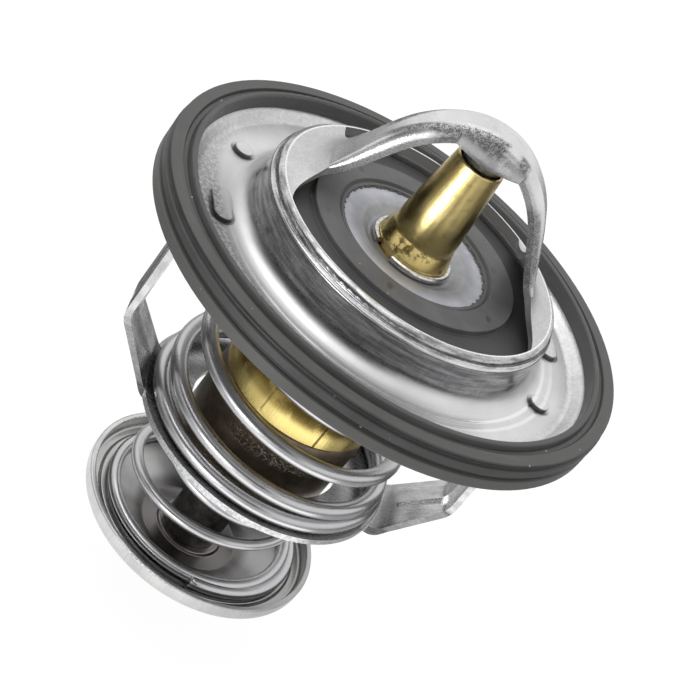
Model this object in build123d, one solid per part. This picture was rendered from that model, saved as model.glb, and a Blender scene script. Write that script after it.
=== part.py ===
from build123d import *
import math
import os

# Engine thermostat with a wax element, a main valve, a bridge above it and a bypass disc below it.
# The Z axis is the axis of the element and points towards the bridge.
# Z = 0 is the upper face of the flange, the X axis runs through both feet of the bridge,
# and lengths are in millimetres.

# Pressed seat body: flange, collar and bridge
sheet = 0.9
flange_bend_r = 28.2
flange_rim_r = 31.8
flange_rim_rise = 1.2
collar_r = 21.2
collar_fillet = 2.8
collar_step_z = 5.9
band_r = 20.75
collar_top_z = 7.4
window_r = 19.85
window_front_angle = 28.0
window_back_angle = 46.0
bridge_top_z = 25.7
bridge_half_width = 2.9
bridge_edge_depth = 2.2
bridge_sheet = 1.0
socket_half_length = 5.6
socket_bulge_r = 3.3
socket_bulge_z = 22.3
socket_foot_z = 20.05
socket_foot_r = 2.45
stake_r_centre = 24.8
stake_angle = 17.0
stake_height = 0.5
coin_r = 1.35
tongue_length = 6.4
tongue_width = 2.7

# Rubber rim seal
seal_r = 33.5
seal_inner_r = 29.8
seal_lip_z = 3.4
seal_face_z = 2.95
seal_mid_z = 0.75
seal_foot_z = -1.55

# Lower frame: ring and two legs
frame_sheet = 0.9
ring_top_z = -30.4
ring_outer_r = 18.7
ring_hole_r = 11.6
leg_outer_x = 25.9
leg_bend_z = -24.0
leg_root_x = 18.3
leg_bend_r = 2.6
leg_half_width = 3.5
leg_root_flare = 6.3
leg_offset = -0.55
foot_half_width = 8.6
foot_inner_x = 22.4
rib_half_width = 1.3
rib_height = 0.5
rib_top_z = -9.0
rib_foot_z = -28.6

# Piston pin and wax element
piston_r = 1.9
running_gap = 0.05
piston_top_z = 23.0
piston_foot_z = -30.0
guide_top_z = 20.4
guide_top_r = 3.35
guide_cone_foot_r = 4.5
guide_cone_foot_z = 8.0
guide_base_z = 5.95
guide_land_r = 5.15
guide_groove_r = 4.85
guide_flange_r = 7.0
guide_neck_r = 5.15
body_r = 11.1
skirt_top_z = -12.0
skirt_foot_z = -21.6
cavity_r = 10.0
cavity_top_z = -14.0
cup_foot_z = -36.0
cup_wall = 0.8
cup_corner_r = 3.6
boot_r = 3.4
boot_flange_z = -15.2
boot_foot_z = -31.6
chafe_r = 4.6
chafe_top_z = -12.9
lip_seal_r = 2.75
lip_seal_foot_z = 17.2
lip_seal_top_z = 18.4

# Main valve
valve_top_z = 5.65
valve_recess = 0.95
valve_recess_r = 6.4
valve_sheet = 1.0
valve_flat_r = 14.2
valve_plate_r = 18.4
valve_drop = 1.5
valve_rubber_r = 19.95
valve_rubber_inner_r = 10.6
valve_rubber_step_r = 14.9
valve_rubber_top_z = 6.3
snap_wire_r = 0.48
snap_mean_r = 5.38
snap_gap_angle = 34.0
snap_gap_middle = 46.0

# Springs: wire, coil radii and turns
main_wire_r = 1.15
main_foot_r = 17.1
main_head_r = 12.9
main_turns = 6.8
main_tip_angle = 273.0
bypass_wire_r = 0.85
bypass_foot_r = 14.2
bypass_head_r = 10.4
bypass_turns = 3.34
bypass_tip_angle = 95.6
bypass_lean = 0.7

# Bypass valve
stem_r = 4.0
stem_foot_z = -54.4
seat_washer_r = 11.7
seat_washer_sheet = 0.9
disc_r = 17.7
disc_rim_z = -47.3
disc_rim_wall = 0.8
disc_groove_z = -49.4
disc_ledge_z = -48.9
disc_dish_z = -51.8
disc_dish_r = 7.4
disc_sheet = 0.8
clip_wire_r = 0.5


def profile(points):
    """Face in the XZ plane from corners (r, z) or (r, z, fillet radius)."""
    corners = [(p[0], 0, p[1]) for p in points]
    radii = [p[2] if len(p) > 2 else 0 for p in points]
    return make_face(FilletPolyline(*corners, radius=radii, close=True))


def turned(points):
    """Solid of revolution about the Z axis from a closed profile."""
    return revolve(profile(points), axis=Axis.Z)


def polar(radius, angle, z=0):
    """Point at a radius and an angle in degrees about the Z axis."""
    return Vector(
        radius * math.cos(math.radians(angle)),
        radius * math.sin(math.radians(angle)),
        z,
    )


def mirrored_pair(shape):
    """The shape and its half turn about the Z axis."""
    return [shape, shape.rotate(Axis.Z, 180)]


def bridge_line():
    """Outer side line of the bridge from foot to foot."""
    half = [
        (20.0, collar_top_z),
        (19.0, collar_top_z + 0.05),
        (17.4, collar_top_z + 0.65),
        (15.5, 10.0),
        (13.9, 12.9),
        (12.3, 16.2),
        (10.0, 20.1),
        (6.6, 23.4),
        (3.2, 25.2),
    ]
    left = [(-x, z) for x, z in half]
    return Spline(*[(x, 0, z) for x, z in left + [(0, bridge_top_z)] + half[::-1]])


def shoulder_dome():
    """Domed sheet that rises from the collar's top towards the strap."""
    outer = Spline(
        (20.0, 0, collar_top_z),
        (19.0, 0, collar_top_z + 0.12),
        (17.4, 0, collar_top_z + 0.72),
        (15.5, 0, 9.9),
        (13.9, 0, 12.75),
        (12.3, 0, 16.05),
        (11.3, 0, 17.8),
    )
    moved = []
    for i in range(13):
        along = outer % (i / 12)
        moved.append(outer @ (i / 12) + Vector(-along.Z, 0, along.X) * sheet)
    inner = Spline(*moved)
    side = make_face(
        [
            outer,
            Line(outer @ 1, inner @ 1),
            inner,
            Line(inner @ 0, outer @ 0),
        ]
    )
    spread = 2 * window_back_angle + 20
    return revolve(side, axis=Axis.Z, revolution_arc=spread).rotate(Axis.Z, -spread / 2)


def bridge_shoulders():
    """The two stretches of the dome that the windows leave standing."""
    front = polar(window_r, window_front_angle)
    back = polar(window_r, -window_back_angle)
    edge_r = window_r + 0.5
    front_rim = polar(edge_r, window_front_angle)
    back_rim = polar(edge_r, -window_back_angle)
    waist = bridge_half_width - 0.2
    front_waist = (15.2, waist)
    back_waist = (12.6, -waist)
    plan = make_face(
        [
            Line((back_waist[0], waist), back_waist),
            ThreePointArc(back_waist, (13.3, -5.0), (back.X, -9.0)),
            Line((back.X, -9.0), (back.X, back.Y)),
            Line((back.X, back.Y), (back_rim.X, back_rim.Y)),
            ThreePointArc((back_rim.X, back_rim.Y), (edge_r, 0), (front_rim.X, front_rim.Y)),
            Line((front_rim.X, front_rim.Y), (front.X, front.Y)),
            ThreePointArc((front.X, front.Y), (16.9, 5.2), front_waist),
            Line(front_waist, (back_waist[0], waist)),
        ]
    )
    shoulder = shoulder_dome() & extrude(plan, amount=bridge_top_z)
    return [shoulder, mirror(shoulder, about=Plane.YZ)]


def strap_section(place, depth, bend):
    """Channel section of the bridge strap, open towards the valve."""
    half = bridge_half_width
    inner = half - bridge_sheet
    soft = max(bend - 0.7, 0.1)
    outline = FilletPolyline(
        (-half, -depth),
        (-half, 0),
        (half, 0),
        (half, -depth),
        (inner, -depth),
        (inner, -bridge_sheet),
        (-inner, -bridge_sheet),
        (-inner, -depth),
        radius=[0, bend, bend, 0, 0, soft, soft, 0],
        close=True,
    )
    return place * make_face(outline)


def bridge_strap():
    """Strap between the shoulders, flat at its feet and a channel above."""
    path = bridge_line().trim(0.1, 0.9)
    deep = bridge_edge_depth
    stations = [
        (0.0, bridge_sheet + 0.2, 0.4),
        (0.16, deep - 0.2, 1.2),
        (0.5, deep, 1.4),
        (0.84, deep - 0.2, 1.2),
        (1.0, bridge_sheet + 0.2, 0.4),
    ]
    sections = []
    for share, depth, bend in stations:
        place = Plane(origin=path @ share, x_dir=(0, 1, 0), z_dir=path % share)
        sections.append(strap_section(place, depth, bend))
    return sweep(sections, path=path, multisection=True)


def piston_socket():
    """Pressed bulge under the crown that holds the head of the piston pin."""
    flare = turned(
        [
            (0, bridge_top_z - 1.0),
            (2.2, bridge_top_z - 0.7),
            (socket_half_length, bridge_top_z - 2.0),
            (socket_half_length, bridge_top_z - 3.4),
            (socket_bulge_r, bridge_top_z - 4.1, 0.8),
            (socket_foot_r, socket_foot_z, 0.3),
            (piston_r, socket_foot_z),
            (piston_r, piston_top_z),
            (0, piston_top_z),
        ]
    )
    length = 2 * socket_half_length + 2
    round_bar = Cylinder(socket_bulge_r, length, rotation=(0, 90, 0))
    return flare & Location((0, 0, socket_bulge_z)) * round_bar


def seat_body():
    """One pressing: flange with its bent rim, collar, windows and bridge."""
    outer_step = collar_r - band_r
    pressing = turned(
        [
            (flange_rim_r, flange_rim_rise),
            (flange_bend_r + 1.3, flange_rim_rise, 1.0),
            (flange_bend_r, 0, 1.0),
            (collar_r, 0, collar_fillet),
            (collar_r, collar_step_z, 0.3),
            (band_r, collar_step_z + outer_step, 0.3),
            (band_r, collar_top_z, 0.8),
            (window_r, collar_top_z),
            (window_r, collar_step_z + 0.1, 0.2),
            (collar_r - sheet, collar_step_z - 0.4, 0.2),
            (collar_r - sheet, -sheet, collar_fillet + sheet),
            (flange_bend_r + 0.3, -sheet, 1.2),
            (flange_bend_r + 1.6, flange_rim_rise - sheet, 0.6),
            (flange_rim_r, flange_rim_rise - sheet),
        ]
    )
    body = pressing + bridge_shoulders() + bridge_strap() + piston_socket()
    for coin in mirrored_pair(
        Location(polar(stake_r_centre, -stake_angle, -sheet / 2))
        * Cylinder(coin_r, sheet + 2 * stake_height)
    ):
        body += coin & Location((0, 0, 1)) * Cylinder(collar_r * 2, 2)
    tongue = extrude(SlotOverall(tongue_length, tongue_width), amount=stake_height)
    place = Location(polar(stake_r_centre, stake_angle)) * Location(
        (0, 0, 0), (0, 0, stake_angle + 90)
    )
    for raised in mirrored_pair(place * tongue):
        body += raised
    return body


def rim_seal():
    """Moulded rubber ring that wraps the flange rim, with lips and grooves."""
    half_lip = seal_lip_z - seal_mid_z
    rim_top = flange_rim_rise
    rim_foot = flange_rim_rise - sheet
    return turned(
        [
            (seal_inner_r, rim_top),
            (seal_inner_r, seal_lip_z, 0.3),
            (30.6, seal_lip_z, 0.3),
            (30.9, 2.5, 0.15),
            (31.45, 2.5, 0.15),
            (31.65, seal_face_z, 0.1),
            (seal_r - 0.05, seal_face_z, 0.15),
            (seal_r - 0.55, 2.3, 0.2),
            (seal_r - 0.55, 2.0, 0.1),
            (seal_r, 1.85, 0.15),
            (seal_r, 0.85, 0.15),
            (seal_r - 0.6, 0.65, 0.1),
            (seal_r - 0.6, 0.2, 0.1),
            (seal_r, 0.0, 0.15),
            (seal_r, seal_foot_z, 0.25),
            (31.6, seal_foot_z, 0.1),
            (31.4, seal_foot_z + 0.4, 0.1),
            (30.9, seal_foot_z + 0.4, 0.1),
            (30.6, seal_mid_z - half_lip, 0.3),
            (seal_inner_r, seal_mid_z - half_lip, 0.3),
            (seal_inner_r, rim_foot),
            (flange_rim_r, rim_foot),
            (flange_rim_r, rim_top),
        ]
    )


def leg_line(offset):
    """Side outline points of one leg, offset inwards from its outer face."""
    slope_top = leg_bend_z
    foot_z = -sheet
    outer = leg_outer_x - offset
    return [
        (ring_hole_r + 2, ring_top_z - frame_sheet + offset),
        (leg_root_x, ring_top_z - frame_sheet + offset),
        (outer, slope_top + offset * 0.45),
        (outer, foot_z - offset),
        (foot_inner_x, foot_z - offset),
    ]


def leg_band(near, far):
    """Closed side profile of a leg between two offsets, with round bends."""
    first = leg_line(near)
    second = leg_line(far)
    outside = FilletPolyline(
        *[(x, 0, z) for x, z in first], radius=[leg_bend_r] * 2 + [1.4]
    )
    inside = FilletPolyline(
        *[(x, 0, z) for x, z in second],
        radius=[leg_bend_r, leg_bend_r, 0.3],
    )
    return make_face(
        [
            outside,
            Line(outside @ 1, inside @ 1),
            inside,
            Line(inside @ 0, outside @ 0),
        ]
    )


def leg():
    """One leg of the lower frame with its foot and its pressed rib."""
    reach = foot_half_width + 1
    sheet_band = extrude(leg_band(0, frame_sheet), amount=reach, dir=(0, 1, 0), both=True)
    neck_z = -6.5
    foot_z = -3.4
    half = leg_half_width
    near_side = [
        (leg_root_flare + 1.4, ring_top_z - 2),
        (leg_root_flare, ring_top_z + 0.6),
        (half + 0.3, leg_bend_z),
        (half, neck_z),
        (foot_half_width, foot_z),
        (foot_half_width, 1),
    ]
    far_side = [
        (-foot_half_width, 1),
        (-foot_half_width, foot_z),
        (-half, neck_z),
        (-half, ring_top_z - 2),
    ]
    front = make_face(
        FilletPolyline(
            *[(0, y, z) for y, z in near_side + far_side],
            radius=[0, 4, 4, 2, 1.5, 0, 0, 1.5, 2, 0],
            close=True,
        )
    )
    blank = sheet_band & extrude(front, amount=leg_outer_x + 2, dir=(1, 0, 0))
    rib_length = rib_top_z - rib_foot_z
    rib_zone = Location((leg_outer_x - 3, 0, rib_foot_z + rib_length / 2))
    rib = extrude(
        leg_band(rib_height, frame_sheet + rib_height),
        amount=rib_half_width,
        dir=(0, 1, 0),
        both=True,
    )
    groove = extrude(
        leg_band(-0.2, rib_height), amount=rib_half_width - 0.5, dir=(0, 1, 0), both=True
    )
    formed = blank + (rib & rib_zone * Box(12, 2 * rib_half_width, rib_length))
    return formed - (groove & rib_zone * Box(12, 2 * rib_half_width, rib_length))


def lower_frame():
    """Ring that carries the main spring, with two legs up to the flange."""
    ring = turned(
        [
            (ring_hole_r, ring_top_z),
            (ring_outer_r, ring_top_z),
            (ring_outer_r, ring_top_z - frame_sheet),
            (ring_hole_r, ring_top_z - frame_sheet),
        ]
    )
    blank = leg()
    shift = Location((leg_offset, 0, 0))
    frame = ring + shift * blank + shift * blank.mirror(Plane.YZ)
    bore = Location((0, 0, ring_top_z)) * Cylinder(ring_hole_r, 6)
    return frame - bore


def piston_pin():
    """Ground pin, fixed in the bridge, that the element climbs down."""
    return turned(
        [
            (0, piston_top_z),
            (piston_r, piston_top_z, 0.3),
            (piston_r, piston_foot_z, 0.6),
            (0, piston_foot_z),
        ]
    )


def element_guide():
    """Turned brass guide: cone, ring groove, neck and the skirt over the cup."""
    bore_r = piston_r + running_gap
    plate_top = valve_top_z - valve_recess
    plate_foot = plate_top - valve_sheet
    return turned(
        [
            (bore_r, lip_seal_foot_z),
            (lip_seal_r, lip_seal_foot_z),
            (lip_seal_r, lip_seal_top_z),
            (guide_top_r - 0.35, guide_top_z),
            (guide_top_r, guide_top_z, 0.12),
            (guide_cone_foot_r, guide_cone_foot_z, 2.0),
            (guide_land_r, guide_base_z, 0.1),
            (guide_land_r, plate_top + 2 * snap_wire_r + 0.02),
            (guide_groove_r, plate_top + 2 * snap_wire_r + 0.02),
            (guide_groove_r, plate_top),
            (guide_land_r, plate_top),
            (guide_land_r, plate_foot),
            (guide_flange_r, plate_foot),
            (guide_flange_r, plate_foot - 1.3, 0.3),
            (guide_neck_r, plate_foot - 1.3),
            (guide_neck_r, skirt_top_z + 1.5, 1.2),
            (body_r - 0.4, skirt_top_z + 0.4, 0.6),
            (body_r, skirt_top_z - 0.6),
            (body_r, skirt_foot_z, 0.2),
            (cavity_r, skirt_foot_z),
            (cavity_r, cavity_top_z),
            (chafe_r, cavity_top_z),
            (chafe_r, chafe_top_z),
            (bore_r, chafe_top_z),
        ]
    )


def wax_cup():
    """Deep drawn cup for the wax, held in the skirt of the guide."""
    inner_r = cavity_r - cup_wall
    return turned(
        [
            (inner_r, boot_flange_z),
            (cavity_r, boot_flange_z),
            (cavity_r, skirt_foot_z),
            (body_r, skirt_foot_z, 0.2),
            (body_r, cup_foot_z, cup_corner_r),
            (0, cup_foot_z),
            (0, cup_foot_z + cup_wall),
            (body_r - cup_wall, cup_foot_z + cup_wall, cup_corner_r - cup_wall),
            (body_r - cup_wall, skirt_foot_z - 1.4, 0.5),
            (inner_r, skirt_foot_z - 0.4, 0.5),
        ]
    )


def wax_charge():
    """Wax that fills the cup around the rubber boot."""
    inner_r = cavity_r - cup_wall
    return turned(
        [
            (boot_r, boot_flange_z),
            (inner_r, boot_flange_z),
            (inner_r, skirt_foot_z - 0.4, 0.5),
            (body_r - cup_wall, skirt_foot_z - 1.4, 0.5),
            (body_r - cup_wall, cup_foot_z + cup_wall, cup_corner_r - cup_wall),
            (0, cup_foot_z + cup_wall),
            (0, boot_foot_z),
            (boot_r, boot_foot_z, 0.8),
        ]
    )


def rubber_boot():
    """Rubber sleeve between piston and wax, with its clamping flange."""
    bore_r = piston_r + running_gap
    return turned(
        [
            (bore_r, cavity_top_z),
            (cavity_r, cavity_top_z),
            (cavity_r, boot_flange_z),
            (boot_r, boot_flange_z),
            (boot_r, boot_foot_z, 0.8),
            (0, boot_foot_z),
            (0, piston_foot_z - 0.2),
            (bore_r, piston_foot_z - 0.2, 0.5),
        ]
    )


def washer(inner_r, outer_r, foot_z, top_z):
    """Plain ring with a square section."""
    return turned(
        [(inner_r, foot_z), (outer_r, foot_z), (outer_r, top_z), (inner_r, top_z)]
    )


def valve_plate():
    """Pressed steel disc of the main valve, dished towards its edge."""
    foot = valve_top_z - valve_sheet
    return turned(
        [
            (guide_land_r, valve_top_z - valve_recess),
            (valve_recess_r, valve_top_z - valve_recess, 0.6),
            (valve_recess_r + 1.3, valve_top_z, 0.9),
            (valve_flat_r, valve_top_z, 1.0),
            (valve_plate_r, valve_top_z - valve_drop),
            (valve_plate_r, foot - valve_drop),
            (valve_flat_r - 0.3, foot, 1.0),
            (valve_recess_r + 1.8, foot, 0.6),
            (valve_recess_r + 0.5, foot - valve_recess, 0.9),
            (guide_land_r, foot - valve_recess),
        ]
    )


def valve_rubber():
    """Rubber moulded over the edge of the valve plate as its sealing face."""
    step_foot = valve_rubber_top_z - 0.75
    rim_z = valve_top_z - valve_drop
    rim_foot = rim_z - valve_sheet - 0.7
    outline = turned(
        [
            (valve_rubber_inner_r, valve_top_z - 0.1),
            (valve_rubber_inner_r, valve_rubber_top_z - 0.3),
            (11.0, valve_rubber_top_z - 0.3),
            (11.25, valve_rubber_top_z - 0.45, 0.05),
            (11.5, valve_rubber_top_z, 0.1),
            (valve_rubber_step_r, valve_rubber_top_z, 0.15),
            (valve_rubber_step_r + 0.1, step_foot, 0.1),
            (valve_rubber_r - 0.3, rim_z + 0.95, 0.15),
            (valve_rubber_r, rim_z + 0.7, 0.15),
            (valve_rubber_r, rim_foot + 0.4, 0.3),
            (valve_rubber_r - 0.8, rim_foot, 0.3),
            (15.6, rim_foot + 0.9, 0.3),
            (15.2, valve_top_z - 1.1),
            (15.2, valve_top_z - 0.1),
        ]
    )
    return outline - valve_plate()


def snap_ring():
    """Open wire ring in the groove of the guide, on top of the valve plate."""
    z = valve_top_z - valve_recess + snap_wire_r + 0.01
    start = snap_gap_middle + snap_gap_angle / 2
    sweep_angle = 360 - snap_gap_angle
    path = ThreePointArc(
        polar(snap_mean_r, start, z),
        polar(snap_mean_r, start + sweep_angle / 2, z),
        polar(snap_mean_r, start + sweep_angle, z),
    )
    plane = Plane(origin=path @ 0, z_dir=path % 0)
    return sweep(plane * Circle(snap_wire_r), path=path)


def climb(turn, flat, ease, pitch):
    """Height after some turns from an end that lies flat and then opens."""
    if turn < flat:
        return 0.0
    if turn < flat + ease:
        return pitch * (turn - flat) ** 2 / (2 * ease)
    return pitch * (turn - flat - ease / 2)


def coil(wire_r, ends, radii, turns, tip_angle, hand, opening, lean=0.0):
    """Conical compression spring between two heights, with closed end turns.

    Each end in opening is (flat turns, easing turns), foot first.
    """
    low = ends[0] + wire_r
    total = ends[1] - wire_r - low
    closed = sum(flat + ease / 2 for flat, ease in opening)
    pitch = total / (turns - closed)
    points_per_turn = 16
    count = round(turns * points_per_turn)
    points = []
    for i in range(count + 1):
        turn = turns * i / count
        if turn < turns / 2:
            rise = climb(turn, *opening[0], pitch)
        else:
            rise = total - climb(turns - turn, *opening[1], pitch)
        share = min(max((turn - 0.5) / (turns - 1.0), 0), 1)
        radius = radii[0] + (radii[1] - radii[0]) * share
        sway = lean * math.sin(math.pi * rise / total)
        around = polar(radius, tip_angle + hand * 360 * turn, low + rise)
        points.append(around + Vector(sway, 0, 0))
    path = Spline(*points)
    plane = Plane(origin=path @ 0, z_dir=path % 0)
    return sweep(plane * Circle(wire_r), path=path, is_frenet=True)


def main_spring():
    """Left hand cone spring between the lower frame and the valve plate."""
    return coil(
        main_wire_r,
        (ring_top_z, valve_top_z - valve_sheet),
        (main_foot_r, main_head_r),
        main_turns,
        main_tip_angle,
        -1,
        ((0.34, 1.87), (0.75, 0.5)),
    )


def bypass_spring():
    """Right hand cone spring between the bypass disc and the seat washer."""
    return coil(
        bypass_wire_r,
        (disc_ledge_z, cup_foot_z - seat_washer_sheet),
        (bypass_foot_r, bypass_head_r),
        bypass_turns,
        bypass_tip_angle,
        1,
        ((0.84, 0.5), (0.6, 0.4)),
        bypass_lean,
    )


def bypass_stem():
    """Stem below the wax cup that carries the bypass disc."""
    groove_z = disc_dish_z - disc_sheet - clip_wire_r
    return turned(
        [
            (0, cup_foot_z),
            (stem_r, cup_foot_z),
            (stem_r, groove_z + clip_wire_r),
            (stem_r - clip_wire_r, groove_z + clip_wire_r),
            (stem_r - clip_wire_r, groove_z - clip_wire_r),
            (stem_r, groove_z - clip_wire_r),
            (stem_r, stem_foot_z, 0.4),
            (0, stem_foot_z),
        ]
    )


def stem_clip():
    """Wire clip in the stem groove that holds the bypass disc."""
    z = disc_dish_z - disc_sheet - clip_wire_r - 0.02
    mean_r = stem_r
    path = ThreePointArc(
        polar(mean_r, 20, z), polar(mean_r, 180, z), polar(mean_r, 340, z)
    )
    plane = Plane(origin=path @ 0, z_dir=path % 0)
    ring = sweep(plane * Circle(clip_wire_r - 0.02), path=path)
    return ring - bypass_stem()


def bypass_disc():
    """Drawn bypass valve disc: rim, groove, spring ledge, dish and hub."""
    hub_r = stem_r + running_gap
    rim_inner_r = disc_r - disc_rim_wall
    foot = disc_groove_z - disc_sheet
    return turned(
        [
            (disc_r, disc_rim_z, 0.25),
            (disc_r, foot, 1.7),
            (13.4, foot, 0.4),
            (12.8, disc_ledge_z - disc_sheet, 0.4),
            (disc_dish_r + 0.6, disc_dish_z - disc_sheet, 0.8),
            (hub_r, disc_dish_z - disc_sheet),
            (hub_r, disc_dish_z + 0.5),
            (hub_r + 0.9, disc_dish_z + 0.5, 0.3),
            (hub_r + 1.1, disc_dish_z, 0.2),
            (disc_dish_r, disc_dish_z, 0.8),
            (12.9, disc_ledge_z - 0.1, 0.5),
            (13.1, disc_ledge_z, 0.1),
            (15.3, disc_ledge_z, 0.2),
            (15.6, disc_groove_z, 0.2),
            (rim_inner_r, disc_groove_z, 0.4),
            (rim_inner_r, disc_rim_z, 0.2),
        ]
    )


def main():
    """Write every piece to its own file."""
    os.makedirs("parts", exist_ok=True)
    pieces = {
        "seat_body": seat_body(),
        "rim_seal": rim_seal(),
        "lower_frame": lower_frame(),
        "piston_pin": piston_pin(),
        "main_spring": main_spring(),
        "element_guide": element_guide(),
        "guide_seal": washer(
            piston_r + running_gap, lip_seal_r, lip_seal_foot_z, lip_seal_top_z
        ),
        "chafe_washer": washer(
            piston_r + running_gap, chafe_r, cavity_top_z, chafe_top_z
        ),
        "rubber_boot": rubber_boot(),
        "wax_charge": wax_charge(),
        "wax_cup": wax_cup(),
        "valve_plate": valve_plate(),
        "valve_rubber": valve_rubber(),
        "snap_ring": snap_ring(),
        "spring_seat": washer(
            stem_r, seat_washer_r, cup_foot_z - seat_washer_sheet, cup_foot_z
        ),
        "bypass_spring": bypass_spring(),
        "bypass_stem": bypass_stem(),
        "stem_clip": stem_clip(),
        "bypass_disc": bypass_disc(),
    }
    for name, shape in pieces.items():
        export_step(shape, f"parts/{name}.step")


if __name__ == "__main__":
    main()
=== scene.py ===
import math

import bpy
from mathutils import Matrix, Vector


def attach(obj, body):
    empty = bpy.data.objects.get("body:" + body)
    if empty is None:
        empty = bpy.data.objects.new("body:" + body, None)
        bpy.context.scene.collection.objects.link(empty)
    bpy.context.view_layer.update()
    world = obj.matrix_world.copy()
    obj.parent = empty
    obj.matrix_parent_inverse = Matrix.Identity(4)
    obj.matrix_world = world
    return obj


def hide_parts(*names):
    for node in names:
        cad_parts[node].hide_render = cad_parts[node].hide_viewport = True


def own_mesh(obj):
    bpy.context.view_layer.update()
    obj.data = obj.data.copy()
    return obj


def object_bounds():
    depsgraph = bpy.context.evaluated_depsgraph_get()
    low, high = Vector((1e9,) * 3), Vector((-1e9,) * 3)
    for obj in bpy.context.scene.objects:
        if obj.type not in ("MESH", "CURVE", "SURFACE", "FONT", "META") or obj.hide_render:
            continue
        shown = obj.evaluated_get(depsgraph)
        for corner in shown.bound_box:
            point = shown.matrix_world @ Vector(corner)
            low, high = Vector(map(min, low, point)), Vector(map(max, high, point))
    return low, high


bl_info = {
    "name": "Coolant Valve Finishes",
    "version": (1, 0, 0),
    "blender": (4, 5, 0),
    "location": "3D View > Sidebar > Coolant Valve",
    "description": "Dresses the wax element coolant valve in steel, rubber and brass",
    "category": "Object",
}

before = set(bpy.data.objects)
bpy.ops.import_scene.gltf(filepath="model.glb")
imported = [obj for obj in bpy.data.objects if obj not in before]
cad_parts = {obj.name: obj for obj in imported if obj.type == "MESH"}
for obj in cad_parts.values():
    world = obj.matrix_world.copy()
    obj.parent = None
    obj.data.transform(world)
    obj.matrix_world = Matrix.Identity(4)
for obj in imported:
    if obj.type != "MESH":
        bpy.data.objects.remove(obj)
cad_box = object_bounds()

MM = 0.001


def tone(red, green, blue):
    """Linear colour from display values between 0 and 255."""
    linear = []
    for value in (red, green, blue):
        share = value / 255
        linear.append(share / 12.92 if share <= 0.04045 else ((share + 0.055) / 1.055) ** 2.4)
    return tuple(linear)


class Number:
    """A number socket that takes part in plain arithmetic."""

    def __init__(self, finish, socket):
        self.finish = finish
        self.socket = socket

    def _math(self, operation, *values):
        return self.finish.number("ShaderNodeMath", {"operation": operation}, list(values))

    def __add__(self, other):
        return self._math("ADD", self, other)

    __radd__ = __add__

    def __sub__(self, other):
        return self._math("SUBTRACT", self, other)

    def __rsub__(self, other):
        return self._math("SUBTRACT", other, self)

    def __mul__(self, other):
        return self._math("MULTIPLY", self, other)

    __rmul__ = __mul__

    def __truediv__(self, other):
        return self._math("DIVIDE", self, other)

    def __pow__(self, other):
        return self._math("POWER", self, other)

    def __abs__(self):
        return self._math("ABSOLUTE", self)

    def root(self):
        return self._math("SQRT", self)

    def least(self, other):
        return self._math("MINIMUM", self, other)

    def most(self, other):
        return self._math("MAXIMUM", self, other)

    def ramp(self, start, end):
        """0 up to start, 1 from end on, eased between them. End may be below start."""
        low, high = min(start, end), max(start, end)
        eased = self.finish.number(
            "ShaderNodeMapRange",
            {"interpolation_type": "SMOOTHSTEP"},
            {"Value": self, "From Min": low, "From Max": high},
        )
        return eased if end >= start else 1 - eased

    def band(self, middle, half_width, edge):
        """1 within half_width of middle, easing to 0 over edge."""
        return abs(self - middle).ramp(half_width + edge, half_width)


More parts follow.
